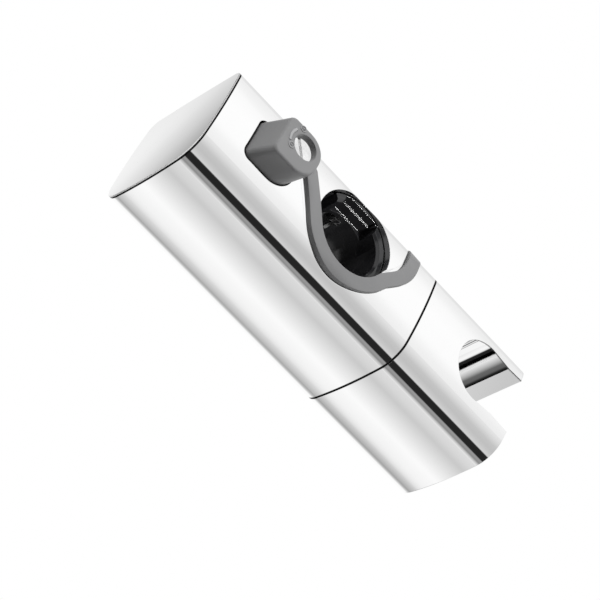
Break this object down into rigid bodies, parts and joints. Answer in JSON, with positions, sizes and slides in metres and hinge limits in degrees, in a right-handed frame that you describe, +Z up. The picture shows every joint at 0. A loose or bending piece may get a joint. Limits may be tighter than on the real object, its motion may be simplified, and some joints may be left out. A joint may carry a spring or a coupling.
{
  "type": "shower rail slider",
  "caption": "Chrome slider that clamps on a round shower rail, with a press lever around the rail and a turning end with an open tapered socket for a handset.",
  "frame": {"origin": "on the axis of the rail bore, at mid height of the casing", "axes": "+Z up along the rail, +X along the casing towards the handset holder, +Y towards the wall"},
  "size_m": [0.1238, 0.0369, 0.0511],
  "materials": {
    "chrome": "bright chrome plating",
    "black_plastic": "glossy black moulding",
    "grey_plastic": "satin grey moulding",
    "rubber": "matt black",
    "steel": "bright stainless steel",
    "brass": "turned brass"
  },
  "bodies": {
    "slider_body": {"body_shell": "chrome", "end_cap": "chrome", "inner_frame": "black_plastic", "rail_insert": "black_plastic", "shoe_spring_front": "steel", "shoe_spring_rear": "steel", "lever_pin": "steel", "lever_spring": "steel", "bearing_plate": "black_plastic", "plate_screws": "steel", "friction_ring": "rubber", "flat_washer": "steel", "wave_washer": "steel"},
    "lever": {"release_lever": "grey_plastic"},
    "screw": {"tension_screw": "steel", "screw_clip": "steel"},
    "wedge": {"adjuster_wedge": "black_plastic"},
    "shoe": {"brake_shoe": "black_plastic", "shoe_pad": "rubber"},
    "holder": {"handset_holder": "chrome", "threaded_insert": "brass", "spindle_screw": "steel"}
  },
  "joints": [
    {"name": "lever_press", "type": "hinge", "parent": "slider_body", "child": "lever", "pos_m": [0.0202, 0.0147, 0.008], "axis": [0, 1, 0], "range_deg": [-2, 0], "stiffness_Nm_per_rad": 0.6, "springref_deg": 6.88, "deforming": ["lever_spring"]},
    {"name": "shoe_slide", "type": "slide", "parent": "slider_body", "child": "shoe", "axis": [-1, 0, 0], "range_m": [0, 0.0005], "deforming": ["shoe_spring_front", "shoe_spring_rear"]},
    {"name": "screw_turn", "type": "hinge", "parent": "lever", "child": "screw", "pos_m": [-0.0294, 0, 0.0281], "axis": [0, 0, 1], "range_deg": [0, 360]},
    {"name": "wedge_travel", "type": "slide", "parent": "lever", "child": "wedge", "axis": [0, 0, -1], "range_m": [0, 0.0007]},
    {"name": "holder_turn", "type": "hinge", "parent": "slider_body", "child": "holder", "pos_m": [0.03, -0.0036, 0], "axis": [1, 0, 0], "continuous": true}
  ],
  "couplings": [
    {"joint": "lever_press", "follows": "shoe_slide", "rad_per_m": -69.8},
    {"joint": "screw_turn", "follows": "wedge_travel", "rad_per_m": 8975}
  ]
}
